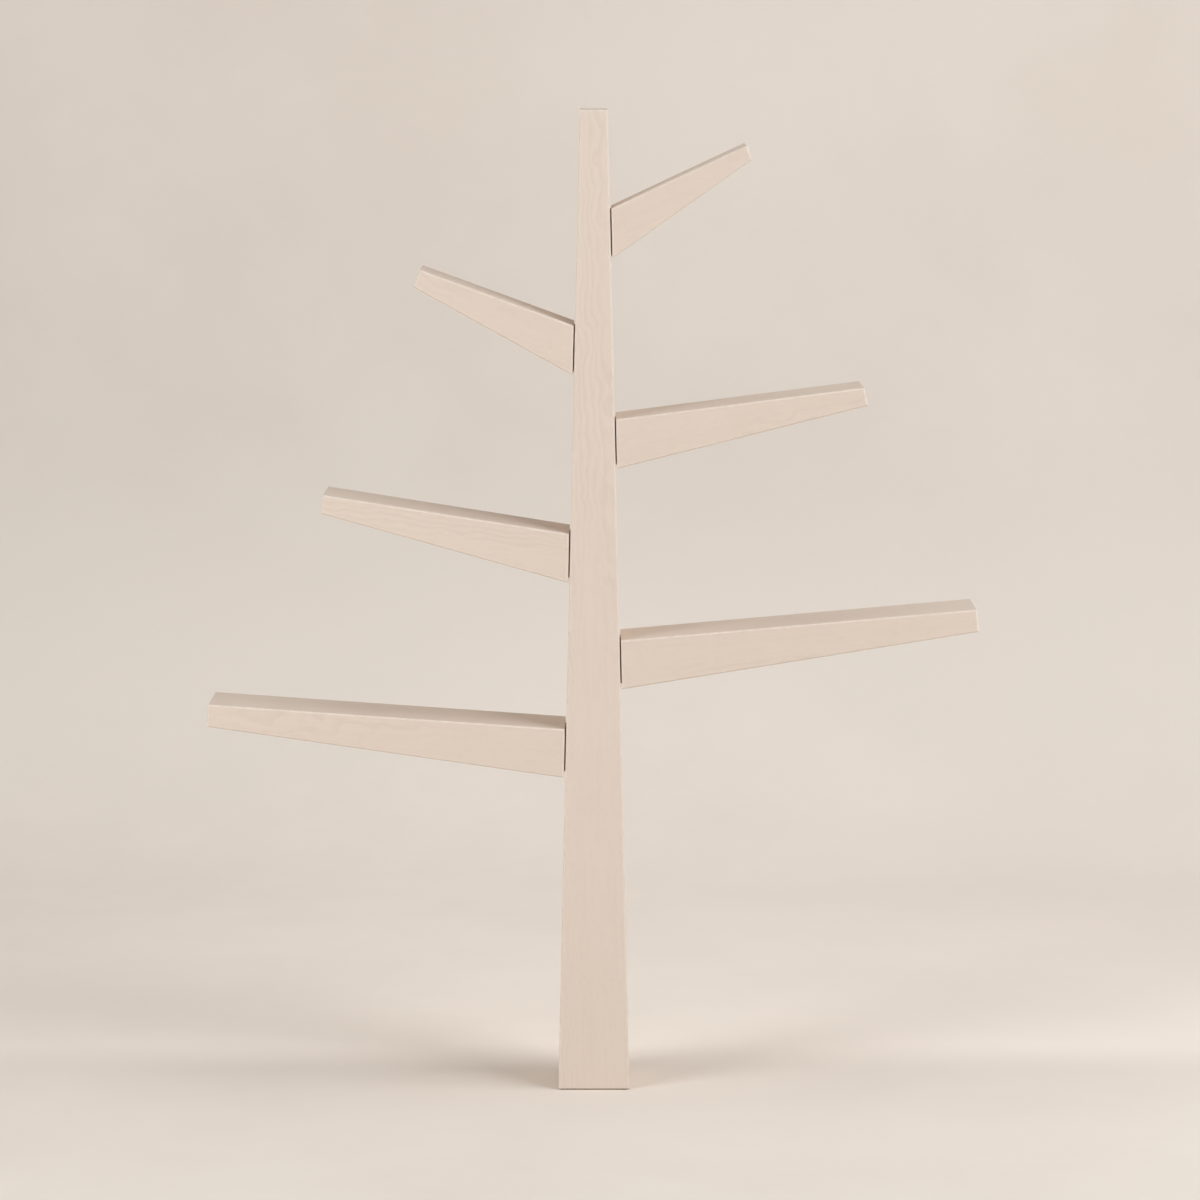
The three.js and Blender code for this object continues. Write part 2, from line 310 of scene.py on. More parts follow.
def makeTimber(name, centre, slope, heartPlace, lean, wash, look):
    # Slope turns the grain up from +X. The heart's place is across the grain, and it leans along the board.
    material, tree, shader = newMaterial(name)
    coordinates = addNode(tree, "ShaderNodeTexCoord")
    lay = addNode(tree, "ShaderNodeMapping", vector_type="TEXTURE")
    lay.inputs["Rotation"].default_value = (0, math.radians(-slope), 0)
    lay.inputs["Location"].default_value = centre
    link(tree, coordinates.outputs["Object"], lay.inputs["Vector"])
    heart = addNode(tree, "ShaderNodeMapping", vector_type="POINT")
    heart.inputs["Rotation"].default_value = (0, 0, math.radians(lean))
    heart.inputs["Location"].default_value = (0, -heartPlace[0], -heartPlace[1])
    link(tree, lay.outputs[0], heart.inputs["Vector"])
    place = heart.outputs[0]
    wearAndHighlight = addNode(tree, "ShaderNodeAttribute", attribute_name="edgeWear").outputs["Fac"]
    figure = placed(tree, figureGroup, Place=place, Ring_Spacing=look["ringSpacing"], Wander=look["wander"],
                    Waver=look["waver"])
    cover = placed(tree, washGroup, Place=place, Timber=look["timber"], Wash=wash, Rubbed=look["wornHighlight"],
                   Wear=wearAndHighlight)
    rings, streaks, fibres, pores = (figure.outputs[key] for key in ("Rings", "Streaks", "Fibres", "Pores"))
    shade = math2(tree, "MULTIPLY", rings, look["ringDepth"])
    for texture, depth in ((streaks, look["streakDepth"]), (fibres, look["fibreDepth"])):
        shade = math2(tree, "ADD", shade, spread(tree, texture, *look["streakEdges"], 0.0, depth))
    tinted = mixColour(tree, shade, cover.outputs["Color"], look["ringShade"])
    pored = mixColour(tree, math2(tree, "MULTIPLY", pores, look["poreDepth"]), tinted, look["poreShade"])
    link(tree, pored, shader.inputs["Base Color"])
    rough = math2(tree, "ADD", spread(tree, fibres, *look["fibreEdges"], *look["roughness"]),
                  math2(tree, "MULTIPLY", pores, look["poreRoughness"]))
    rough = math2(tree, "SUBTRACT", rough, math2(tree, "MULTIPLY", wearAndHighlight, look["wearGloss"]))
    link(tree, rough, shader.inputs["Roughness"])
    relief = math2(tree, "MULTIPLY", fibres, look["relief"]["fibres"])
    for texture, key in ((rings, "rings"), (pores, "pores")):
        relief = math2(tree, "SUBTRACT", relief, math2(tree, "MULTIPLY", texture, look["relief"][key]))
    bump = addNode(tree, "ShaderNodeBump")
    feed(tree, bump, Strength=look["bumpStrength"], Distance=look["bumpDistance"], Height=relief)
    link(tree, bump.outputs[0], shader.inputs["Normal"])
    shader.inputs["IOR"].default_value = look["ior"]
    shader.inputs["Specular IOR Level"].default_value = look["specular"]
    return material


# Metal and rubber

smudgePlan = {"scale": 45.0, "edges": (0.35, 0.7)}
zincLook = {
    "bright": colour(0.62, 0.63, 0.65),
    "dull": colour(0.46, 0.46, 0.46),
    "fineness": 1400.0,
    "roughness": (0.26, 0.42),  # where it is clean and where it is smudged
    "grainRoughness": 0.08,
    "bumpStrength": 0.2,
    "bumpDistance": 0.00004,
}
rubberLook = {
    "black": colour(0.012, 0.011, 0.010),
    "dust": colour(0.035, 0.031, 0.027),
    "dustShare": 0.5,
    "fineness": 700.0,
    "roughness": (0.72, 0.92),
    "bumpStrength": 0.5,
    "bumpDistance": 0.0001,
}
grainEdges = (0.3, 0.7)


def makeSmudgeGroup(plan):
    group, given, out = newGroup("handledSurface", [
        ("Place", vector3, None),
        ("Fineness", number, 900.0),
    ], [("Grain", number), ("Smudges", number)])
    grain = noise(group, given["Place"], given["Fineness"], detail=3.0, roughness=0.65)["Fac"]
    link(group, grain, out["Grain"])
    smudges = noise(group, given["Place"], plan["scale"], detail=4.0, roughness=0.6)["Fac"]
    link(group, spread(group, smudges, *plan["edges"]), out["Smudges"])
    return group


smudgeGroup = makeSmudgeGroup(smudgePlan)


def makePlatedSteel(name, look):
    material, tree, shader = newMaterial(name)
    place = addNode(tree, "ShaderNodeTexCoord").outputs["Object"]
    surface = placed(tree, smudgeGroup, Place=place, Fineness=look["fineness"])
    smudges, grain = surface.outputs["Smudges"], surface.outputs["Grain"]
    link(tree, mixColour(tree, smudges, look["bright"], look["dull"]), shader.inputs["Base Color"])
    roughness = math2(tree, "ADD", spread(tree, smudges, 0.0, 1.0, *look["roughness"]),
                      spread(tree, grain, *grainEdges, 0.0, look["grainRoughness"]))
    link(tree, roughness, shader.inputs["Roughness"])
    bump = addNode(tree, "ShaderNodeBump")
    feed(tree, bump, Strength=look["bumpStrength"], Distance=look["bumpDistance"], Height=grain)
    link(tree, bump.outputs[0], shader.inputs["Normal"])
    shader.inputs["Metallic"].default_value = 1.0
    return material


def makeRubber(name, look):
    material, tree, shader = newMaterial(name)
    place = addNode(tree, "ShaderNodeTexCoord").outputs["Object"]
    surface = placed(tree, smudgeGroup, Place=place, Fineness=look["fineness"])
    dust = math2(tree, "MULTIPLY", surface.outputs["Smudges"], look["dustShare"])
    link(tree, mixColour(tree, dust, look["black"], look["dust"]), shader.inputs["Base Color"])
    grain = surface.outputs["Grain"]
    link(tree, spread(tree, grain, *grainEdges, *look["roughness"]), shader.inputs["Roughness"])
    bump = addNode(tree, "ShaderNodeBump")
    feed(tree, bump, Strength=look["bumpStrength"], Distance=look["bumpDistance"], Height=grain)
    link(tree, bump.outputs[0], shader.inputs["Normal"])
    return material


zinc = makePlatedSteel("brightZinc", zincLook)
rubber = makeRubber("matBlackRubber", rubberLook)
print("materials ready")


# Mesh helpers

def newPiece(name, bm, material):
    mesh = bpy.data.meshes.new(name)
    bm.to_mesh(mesh)
    bm.free()
    piece = bpy.data.objects.new(name, mesh)
    bpy.context.scene.collection.objects.link(piece)
    if material:
        mesh.materials.append(material)
    return piece


def combine(piece, tools, operation):
    # Cuts or joins with other solids, and keeps only the result.
    for tool in tools:
        change = piece.modifiers.new("combine", "BOOLEAN")
        change.operation = operation
        change.solver = "EXACT"
        change.object = tool
    state = bpy.context.evaluated_depsgraph_get()
    result = bpy.data.meshes.new_from_object(piece.evaluated_get(state))
    piece.modifiers.clear()
    oldMesh = piece.data
    piece.data = result
    bpy.data.meshes.remove(oldMesh)
    result.name = piece.name
    for tool in tools:
        bpy.data.objects.remove(tool)


def smooth(piece, sharpAngle=35):
    piece.data.shade_smooth()
    piece.data.set_sharp_from_angle(angle=math.radians(sharpAngle))
    weighted = piece.modifiers.new("flatFaces", "WEIGHTED_NORMAL")
    weighted.keep_sharp = True


def handOver(piece, slot, *nodes):
    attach(piece, "root")
    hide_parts(*nodes)


def blockTool(low, high):
    bm = bmesh.new()
    bmesh.ops.create_cube(bm, size=1.0)
    low, high = Vector(low), Vector(high)
    bmesh.ops.scale(bm, verts=bm.verts, vec=high - low)
    bmesh.ops.translate(bm, verts=bm.verts, vec=(low + high) / 2)
    return newPiece("block", bm, None)


def rodTool(start, end, radius, segments=64):
    start, end = Vector(start), Vector(end)
    bm = bmesh.new()
    bmesh.ops.create_cone(bm, cap_ends=True, segments=segments, radius1=radius, radius2=radius,
                          depth=(end - start).length)
    turn = (end - start).to_track_quat("Z", "Y").to_matrix()
    bmesh.ops.rotate(bm, verts=bm.verts, cent=(0, 0, 0), matrix=turn)
    bmesh.ops.translate(bm, verts=bm.verts, vec=(start + end) / 2)
    return newPiece("rod", bm, None)


def bevelEdges(bm, edges, radius, segments):
    bmesh.ops.bevel(bm, geom=edges, offset=radius, offset_type="OFFSET", segments=segments, profile=0.5,
                    affect="EDGES", material=-1)


blockPlan = {"cornerSegments": 10, "rimSegments": 3, "capFacing": 0.9}


def roundedBlock(low, high, radius, axis=1, rimRadius=0.0):
    # The edges along the axis are rounded first, then the two rims round its ends.
    tool = blockTool(low, high)
    bm = bmesh.new()
    bm.from_mesh(tool.data)
    bmesh.ops.recalc_face_normals(bm, faces=bm.faces)
    sides = [e for e in bm.edges if abs(e.verts[0].co[axis] - e.verts[1].co[axis]) > tiny]
    bevelEdges(bm, sides, radius, blockPlan["cornerSegments"])
    if rimRadius > 0:
        caps = [f for f in bm.faces if abs(f.normal[axis]) > blockPlan["capFacing"]]
        rims = [e for e in bm.edges if any(f in caps for f in e.link_faces)]
        bevelEdges(bm, rims, rimRadius, blockPlan["rimSegments"])
    bm.to_mesh(tool.data)
    bm.free()
    return tool


boardPlan = {
    "edgeSegments": 5,
    "cornerSegments": 3,
    "cornerTurn": 20,  # least degrees between two sides that meet in a corner
    "flatTurn": 1,  # most degrees by which a flat face leans off its side
    "lowestRub": -0.2,  # the least height of a rubbed face's normal
    "leastSide": 0.001,
}


def turnsCorner(edge):
    # True where the two faces belong to different sides of a board that stands in the X-Z plane.
    sides = [Vector((face.normal.x, face.normal.z)) for face in edge.link_faces]
    if min(side.length for side in sides) <= boardPlan["leastSide"]:
        return False
    return sides[0].angle(sides[1]) > math.radians(boardPlan["cornerTurn"])


def boardMesh(corners, front, back, cornerRadius, edgeRadius):
    # A board whose outline is given in X and Z. Its front and back rims are rounded first, then its corners.
    bm = bmesh.new()
    outline = bm.faces.new([bm.verts.new((x, front, z)) for x, z in corners])
    grown = bmesh.ops.extrude_face_region(bm, geom=[outline])["geom"]
    verts = [v for v in grown if isinstance(v, bmesh.types.BMVert)]
    bmesh.ops.translate(bm, verts=verts, vec=(0, back - front, 0))
    bmesh.ops.recalc_face_normals(bm, faces=bm.faces)
    flats = [face.normal.copy() for face in bm.faces]
    rims = [e for e in bm.edges if abs(e.verts[0].co.y - e.verts[1].co.y) < tiny]
    bevelEdges(bm, rims, edgeRadius, boardPlan["edgeSegments"])
    bevelEdges(bm, [e for e in bm.edges if turnsCorner(e)], cornerRadius, boardPlan["cornerSegments"])
    # The upper and upright edges are painted paler, the same on both sides: partly wear from hands and
    # books, partly a painted highlight where light catches their rounding. The lower edges get neither.
    wearAndHighlight = bm.loops.layers.float.new("edgeWear")
    for face in bm.faces:
        rounded = min(face.normal.angle(flat) for flat in flats) > math.radians(boardPlan["flatTurn"])
        for loop in face.loops:
            loop[wearAndHighlight] = 1.0 if rounded and face.normal.z > boardPlan["lowestRub"] else 0.0
    return bm


# Trunk

trunkLow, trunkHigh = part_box("trunk")
trunkPlan = {
    "topWidth": 0.045,
    "edgeRadius": 0.0028,
    "cornerRadius": 0.001,
    "plugClearance": 0.00025,
    "plugRim": 0.0003,
    "plugRimSegments": 2,
    "plugCapCorners": 10,  # a plug's caps have more corners than this, and its sides fewer
    "grainSlope": 90,  # degrees up from +X
    "heart": (0.030, -0.045),
    "lean": 1.6,  # degrees
    "plugHeart": (-0.012, 0.040),
    "plugLean": -4.0,
    "plugGrainSlope": 74,  # a little off the trunk's upright grain, as a plug set in by hand is
}


def halfWidthAt(height):
    # Half of the trunk's width, which tapers evenly from the foot to the top.
    share = (height - trunkLow.z) / (trunkHigh.z - trunkLow.z)
    return trunkHigh.x + (trunkPlan["topWidth"] / 2 - trunkHigh.x) * share


def trunkMesh(plan):
    foot, top = trunkHigh.x, plan["topWidth"] / 2
    corners = [(-foot, trunkLow.z), (foot, trunkLow.z), (top, trunkHigh.z), (-top, trunkHigh.z)]
    return boardMesh(corners, trunkLow.y, trunkHigh.y, plan["cornerRadius"], plan["edgeRadius"])


# Branches. Lengths run along the top edge, and a tip leans out from upright by some degrees.

branches = {
    "right_upper": {"side": 1, "height": 1.442, "rise": 25.0, "length": 0.240, "tip": 0.0246, "tipLean": 19},
    "left_upper": {"side": -1, "height": 1.254, "rise": 20.0, "length": 0.264, "tip": 0.030, "tipLean": 18},
    "right_middle": {"side": 1, "height": 1.103, "rise": 7.3, "length": 0.404, "tip": 0.0298, "tipLean": 12},
    "left_middle": {"side": -1, "height": 0.9175, "rise": 9.0, "length": 0.403, "tip": 0.0305, "tipLean": 5},
    "right_lower": {"side": 1, "height": 0.7435, "rise": 5.0, "length": 0.580, "tip": 0.0366, "tipLean": 5},
    "left_lower": {"side": -1, "height": 0.598, "rise": 4.0, "length": 0.5815, "tip": 0.0366, "tipLean": 4},
}
branchGrain = {  # where the heart lies across the grain, and its lean in degrees
    "right_upper": ((0.050, 0.030), 1.0),
    "left_upper": ((0.035, -0.050), -1.5),
    "right_middle": ((0.060, -0.020), 1.5),
    "left_middle": ((0.040, 0.060), -1.0),
    "right_lower": ((0.045, 0.050), -1.2),
    "left_lower": ((0.050, -0.040), 1.4),
}
jointPlan = {
    "rootHeight": 0.080,
    "shadowGap": 0.002,
    "tenonInset": 0.002,
    "fitGap": 0.00025,
    "boltRadius": 0.004,
    "boreClearance": 0.0005,
    "edgeRadius": 0.0028,
    "cornerRadius": 0.001,
    "tenonThickness": 0.032,
    "tipTrim": 0.00015,  # off a tip, whose corners are tighter than the solid's
    "counterboreRadius": 0.010,
    "counterboreDepth": 0.012,
    "overrun": 0.005,
}


def jointOf(name):
    # Where the hidden parts of a joint lie, read from the solids that they dress.
    side = branches[name]["side"]
    low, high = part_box("branch_" + name)
    nut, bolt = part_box("barrel_nut_" + name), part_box("bolt_" + name)
    return {
        "tenonEnd": low.x if side > 0 else high.x,
        "boltHeight": centreOf("bolt_" + name).z,
        "nutPlace": centreOf("barrel_nut_" + name).x,
        "nutRadius": sizeOf("barrel_nut_" + name).y / 2,
        "nutTop": nut[1].z,
        "boltEnd": bolt[1].x if side > 0 else bolt[0].x,
        "face": side * halfWidthAt(centreOf("bolt_" + name).z),
    }


def branchCorners(name):
    plan = branches[name]
    side, gap = plan["side"], jointPlan["shadowGap"]
    rise = math.radians(plan["rise"])
    rootBottom = plan["height"] - jointPlan["rootHeight"]
    rootTop = Vector((halfWidthAt(plan["height"]) + gap, plan["height"]))
    length = plan["length"] - jointPlan["tipTrim"]
    tipTop = rootTop + length * Vector((math.cos(rise), math.sin(rise)))
    lean = math.radians(plan["tipLean"])
    tipBottom = tipTop + plan["tip"] * Vector((math.sin(lean), -math.cos(lean)))
    heel = Vector((halfWidthAt(rootBottom) + gap, rootBottom))
    return [(side * x, z) for x, z in (rootTop, tipTop, tipBottom, heel)]


def makeBranch(name):
    plan, joint = branches[name], jointOf(name)
    side, overrun = plan["side"], jointPlan["overrun"]
    grainSlope = plan["rise"] if side > 0 else 180 - plan["rise"]
    heart, lean = branchGrain[name]
    material = makeTimber("washedTimber_" + name, centreOf("branch_" + name), grainSlope, heart, lean,
                          timberLook["branchWash"], timberLook)
    corners = branchCorners(name)
    board = boardMesh(corners, trunkLow.y, trunkHigh.y, jointPlan["cornerRadius"], jointPlan["edgeRadius"])
    piece = newPiece("bough_" + name, board, material)
    half = jointPlan["tenonThickness"] / 2
    rootBottom = plan["height"] - jointPlan["rootHeight"]
    inset = jointPlan["tenonInset"]
    inside = joint["face"] + side * (jointPlan["shadowGap"] + inset)
    ends = sorted((joint["tenonEnd"], inside))
    tenon = blockTool((ends[0], -half, rootBottom + inset), (ends[1], half, plan["height"] - inset))
    combine(piece, [tenon], "UNION")
    bolt = rodTool((joint["tenonEnd"] - side * overrun, 0, joint["boltHeight"]),
                   (joint["boltEnd"] + side * jointPlan["fitGap"], 0, joint["boltHeight"]),
                   jointPlan["boltRadius"] + jointPlan["boreClearance"])
    nut = rodTool((joint["nutPlace"], 0, rootBottom - overrun),
                  (joint["nutPlace"], 0, joint["nutTop"] + jointPlan["fitGap"]),
                  joint["nutRadius"] + jointPlan["fitGap"])
    combine(piece, [bolt, nut], "DIFFERENCE")
    smooth(piece)
    handOver(piece, "timber", "branch_" + name)


def mortiseTools(name):
    plan, joint = branches[name], jointOf(name)
    side, overrun, fit = plan["side"], jointPlan["overrun"], jointPlan["fitGap"]
    half = jointPlan["tenonThickness"] / 2 + fit
    rootBottom = plan["height"] - jointPlan["rootHeight"]
    inset = jointPlan["tenonInset"]
    mortiseFloor = joint["tenonEnd"] - side * fit
    outside = joint["face"] + side * overrun
    ends = sorted((mortiseFloor, outside))
    mortise = blockTool((ends[0], -half, rootBottom + inset - fit),
                        (ends[1], half, plan["height"] - inset + fit))
    seat = side * jointPlan["counterboreDepth"] - joint["face"]
    bore = rodTool((seat - side * fit, 0, joint["boltHeight"]),
                   (mortiseFloor + side * overrun, 0, joint["boltHeight"]),
                   jointPlan["boltRadius"] + jointPlan["boreClearance"])
    counterbore = rodTool((-outside, 0, joint["boltHeight"]), (seat, 0, joint["boltHeight"]),
                          jointPlan["counterboreRadius"])
    return [mortise, counterbore, bore]


platePlan = {
    "cornerRadius": 0.004,
    "fitGap": 0.00025,
    "pocket": (0.015, 0.012, 0.032),  # wide, deep and high
    "keyholeRadius": 0.0055,
    "keyslotRadius": 0.0026,
    "keyslotRise": 0.011,
    "screwSpacing": 0.050,
    "screwHoleRadius": 0.00225,
    "sinkRadius": 0.00425,
    "sinkDepth": 0.0019,
    "slotEndShare": 0.98,  # of its half width, by which the keyslot's ends are rounded
    "edgeRadius": 0.0002,
    "overrun": 0.004,
}


def plateTools(name):
    centre, size = centreOf("hanger_plate_" + name), sizeOf("hanger_plate_" + name)
    fit, back = platePlan["fitGap"], trunkHigh.y
    wide, deep, high = platePlan["pocket"]
    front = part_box("hanger_plate_" + name)[0].y
    recessLow = (centre.x - size.x / 2 - fit, front - fit, centre.z - size.z / 2 - fit)
    recessHigh = (centre.x + size.x / 2 + fit, back + platePlan["overrun"], centre.z + size.z / 2 + fit)
    recess = roundedBlock(recessLow, recessHigh, platePlan["cornerRadius"] + fit)
    pocket = blockTool((centre.x - wide / 2, back - deep, centre.z - high / 2),
                       (centre.x + wide / 2, back, centre.z + high / 2))
    tools = [recess, pocket]
    for end in ("_top", "_bottom"):
        screw = "hanger_screw_" + name + end
        place = centreOf(screw)
        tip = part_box(screw)[0].y
        tools.append(rodTool((place.x, tip - fit, place.z), (place.x, back, place.z),
                             platePlan["screwHoleRadius"]))
    return tools


def makeTrunk(plan):
    centre = (trunkLow + trunkHigh) / 2
    material = makeTimber("washedTimber_trunk", centre, plan["grainSlope"], plan["heart"], plan["lean"],
                          timberLook["trunkWash"], timberLook)
    piece = newPiece("stem", trunkMesh(plan), material)
    tools = [tool for name in branches for tool in mortiseTools(name)]
    tools += plateTools("upper") + plateTools("lower")
    combine(piece, tools, "DIFFERENCE")
    smooth(piece)
    handOver(piece, "timber", "trunk")


makeTrunk(trunkPlan)
print("trunk ready")
for branchName in branches:
    makeBranch(branchName)
print("branches ready")


# Bolt covers: plugs cut flush with the trunk's sloping side, from the same stock as the branches.

plugTimber = makeTimber("washedTimber_plugs", (trunkLow + trunkHigh) / 2, trunkPlan["plugGrainSlope"],
                        trunkPlan["plugHeart"], trunkPlan["plugLean"], timberLook["branchWash"], timberLook)


def betweenCapAndSide(edge, corners):
    counts = sorted(len(face.verts) for face in edge.link_faces)
    return len(counts) == 2 and counts[0] < corners < counts[1]


def makePlug(name, plan):
    side, joint = branches[name]["side"], jointOf(name)
    low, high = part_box("bolt_cover_" + name)
    inner = high.x if side > 0 else low.x
    outer = -joint["face"] - side * jointPlan["overrun"]
    radius = jointPlan["counterboreRadius"] - plan["plugClearance"]
    piece = rodTool((inner, 0, joint["boltHeight"]), (outer, 0, joint["boltHeight"]), radius)
    piece.name = piece.data.name = "plug_" + name
    bm = bmesh.new()
    bm.from_mesh(piece.data)
    slope = (trunkHigh.x - plan["topWidth"] / 2) / (trunkHigh.z - trunkLow.z)
    outward = Vector((-side, 0, slope)).normalized()
    everything = bm.verts[:] + bm.edges[:] + bm.faces[:]
    cut = bmesh.ops.bisect_plane(bm, geom=everything, dist=tiny / 10, plane_no=outward, clear_outer=True,
                                 plane_co=(-joint["face"], 0, joint["boltHeight"]))
    rim = [e for e in cut["geom_cut"] if isinstance(e, bmesh.types.BMEdge)]
    bmesh.ops.contextual_create(bm, geom=rim)
    rim = [e for e in bm.edges if betweenCapAndSide(e, plan["plugCapCorners"])]
    bevelEdges(bm, rim, plan["plugRim"], plan["plugRimSegments"])
    bmesh.ops.recalc_face_normals(bm, faces=bm.faces)
    bm.to_mesh(piece.data)
    bm.free()
    piece.data.materials.append(plugTimber)
    smooth(piece)
    handOver(piece, "timber", "bolt_cover_" + name)


for branchName in branches:
    makePlug(branchName, trunkPlan)
print("bolt covers ready")


# Foot pad

padPlan = {"cornerRadius": 0.003, "rimRadius": 0.0005}


def makePad(plan):
    low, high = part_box("foot_pad")
    piece = roundedBlock(low, high, plan["cornerRadius"], 2, plan["rimRadius"])
    piece.name = piece.data.name = "foot_sheet"
    piece.data.materials.append(rubber)
    smooth(piece)
    handOver(piece, "rubber", "foot_pad")


makePad(padPlan)
print("foot pad ready")


# Bolts, barrel nuts, keyhole plates and screws, finer than the solids that they stand for

hardwarePlan = {
    "sides": 48,
    "sharpAngle": 30,
    "rim": 0.0003,
    "boltHeadHeight": 0.004,
    "boltHeadRound": 0.001,
    "boltHeadSteps": 6,
    "boltTip": 0.0007,
    "socketWidth": 0.005,  # across the flats
    "socketDepth": 0.003,
    "nutChamfer": 0.0006,
    "nutSlot": (0.0016, 0.002),  # wide and deep
    "screwRadius": 0.002,
    "screwPoint": 0.004,
    "crossLength": 0.0044,
    "crossWidth": 0.001,
    "crossDepth": 0.0014,
    "crossTaper": 0.35,  # how much of its section is left at the bottom
}


def turnedPiece(name, profile, start, direction):
    # A profile of radii and distances, spun round the line that runs from the start in the direction.
    bm = bmesh.new()
    verts = [bm.verts.new((radius, 0, along)) for radius, along in profile]
    edges = [bm.edges.new(pair) for pair in zip(verts, verts[1:])]
    bmesh.ops.spin(bm, geom=verts + edges, cent=(0, 0, 0), axis=(0, 0, 1), angle=math.tau,
                   steps=hardwarePlan["sides"], use_merge=True, use_duplicate=False)
    bmesh.ops.remove_doubles(bm, verts=bm.verts, dist=tiny / 10)
    bmesh.ops.recalc_face_normals(bm, faces=bm.faces)
    turn = Vector(direction).to_track_quat("Z", "Y").to_matrix()
    bmesh.ops.rotate(bm, verts=bm.verts, cent=(0, 0, 0), matrix=turn)
    bmesh.ops.translate(bm, verts=bm.verts, vec=start)
    return newPiece(name, bm, zinc)


def finishHardware(piece, node):
    smooth(piece, hardwarePlan["sharpAngle"])
    handOver(piece, "steel", node)


def arcPoints(centreRadius, centreAlong, radius, steps):
    # A quarter round from the side of a rod to its end.
    angles = [math.radians(90) * step / steps for step in range(steps + 1)]
    return [(centreRadius + radius * math.cos(a), centreAlong + radius * math.sin(a)) for a in angles]


def makeBolt(name, plan):
    side, node = branches[name]["side"], "bolt_" + name
    centre, size = centreOf(node), sizeOf(node)
    head, reach, shank = size.y / 2, size.x, jointPlan["boltRadius"]
    top = reach - plan["boltHeadRound"]
    seat = reach - plan["boltHeadHeight"]
    edge = arcPoints(head - plan["boltHeadRound"], top, plan["boltHeadRound"], plan["boltHeadSteps"])
    profile = [(0, 0), (shank - plan["boltTip"], 0), (shank, plan["boltTip"]), (shank, seat),
               (head - plan["rim"], seat), (head, seat + plan["rim"]), *edge, (0, reach)]
    tip = Vector((centre.x + side * reach / 2, 0, centre.z))
    piece = turnedPiece("joint_bolt_" + name, profile, tip, (-side, 0, 0))
    outer = tip - Vector((side * (reach + jointPlan["overrun"]), 0, 0))
    inner = tip - Vector((side * (reach - plan["socketDepth"]), 0, 0))
    socket = rodTool(inner, outer, plan["socketWidth"] / math.sqrt(3), segments=6)
    combine(piece, [socket], "DIFFERENCE")
    finishHardware(piece, node)


def makeBarrelNut(name, plan):
    node = "barrel_nut_" + name
    low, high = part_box(node)
    centre, radius, length = centreOf(node), sizeOf(node).y / 2, sizeOf(node).z
    chamfer, overrun = plan["nutChamfer"], jointPlan["overrun"]
    profile = [(0, 0), (radius - chamfer, 0), (radius, chamfer), (radius, length - chamfer),
               (radius - chamfer, length), (0, length)]
    piece = turnedPiece("cross_nut_" + name, profile, (centre.x, 0, low.z), (0, 0, 1))
    wide, deep = plan["nutSlot"]
    slot = blockTool((centre.x - radius - overrun, -wide / 2, low.z - overrun),
                     (centre.x + radius + overrun, wide / 2, low.z + deep))
    bore = rodTool((low.x - overrun, 0, centre.z), (high.x + overrun, 0, centre.z),
                   jointPlan["boltRadius"] + jointPlan["fitGap"])
    combine(piece, [slot, bore], "DIFFERENCE")
    finishHardware(piece, node)


def makePlate(name, plan):
    node = "hanger_plate_" + name
    low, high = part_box(node)
    centre, back, overrun = centreOf(node), high.y, plan["overrun"]
    piece = roundedBlock(low, high, plan["cornerRadius"], 1, plan["edgeRadius"])
    piece.name = piece.data.name = "keyhole_plate_" + name
    piece.data.materials.append(zinc)
    hole = centre.z - plan["keyslotRise"] / 2
    slotEnd = centre.z + plan["keyslotRise"] / 2
    start, end = low.y - overrun, back + overrun
    slotHalf = plan["keyslotRadius"]
    burr, wide = plan["edgeRadius"], plan["keyholeRadius"]
    reach = back - start  # from where the tools start to the plate's outer face
    keyholeProfile = [(0, 0), (wide, 0), (wide, reach - burr), (wide + burr + overrun, reach + overrun),
                      (0, reach + overrun)]
    tools = [
        roundedBlock((-slotHalf, start, hole - slotHalf), (slotHalf, end, slotEnd + slotHalf),
                     plan["slotEndShare"] * slotHalf),
        turnedPiece("keyhole", keyholeProfile, (0, start, hole), (0, 1, 0)),
    ]
    narrow, sink = plan["screwHoleRadius"], plan["sinkRadius"]
    widening = (sink - narrow) / plan["sinkDepth"]
    profile = [(0, 0), (narrow, 0), (narrow, reach - plan["sinkDepth"]),
               (sink + widening * overrun, reach + overrun), (0, reach + overrun)]
    for direction in (-1, 1):
        place = centre.z + direction * plan["screwSpacing"] / 2
        tools.append(turnedPiece("countersink", profile, (0, start, place), (0, 1, 0)))
    combine(piece, tools, "DIFFERENCE")
    finishHardware(piece, node)


def makeScrew(node, plan):
    centre, size = centreOf(node), sizeOf(node)
    length, head, shank, rim = size.y, size.x / 2, plan["screwRadius"], plan["rim"]
    taperEnd = length - platePlan["sinkDepth"]
    profile = [(0, 0), (shank, plan["screwPoint"]), (shank, taperEnd), (head, length - rim / 2),
               (head, length - rim / 4), (head - rim / 4, length), (0, length)]
    tip = Vector((centre.x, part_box(node)[0].y, centre.z))
    piece = turnedPiece(node.replace("hanger_screw", "sunk_screw"), profile, tip, (0, 1, 0))
    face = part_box(node)[1].y
    combine(piece, [crossTool(centre, face, plan, turned) for turned in (False, True)], "DIFFERENCE")
    finishHardware(piece, node)


def crossTool(centre, face, plan, turned):
    # One bar of a cross recess, which narrows towards its bottom.
    long, wide, overrun = plan["crossLength"] / 2, plan["crossWidth"] / 2, plan["rim"]
    x, z = (wide, long) if turned else (long, wide)
    tool = blockTool((centre.x - x, face - plan["crossDepth"], centre.z - z),
                     (centre.x + x, face + overrun, centre.z + z))
    for vert in tool.data.vertices:
        if vert.co.y < face:
            vert.co.x = centre.x + (vert.co.x - centre.x) * plan["crossTaper"]
            vert.co.z = centre.z + (vert.co.z - centre.z) * plan["crossTaper"]
    return tool


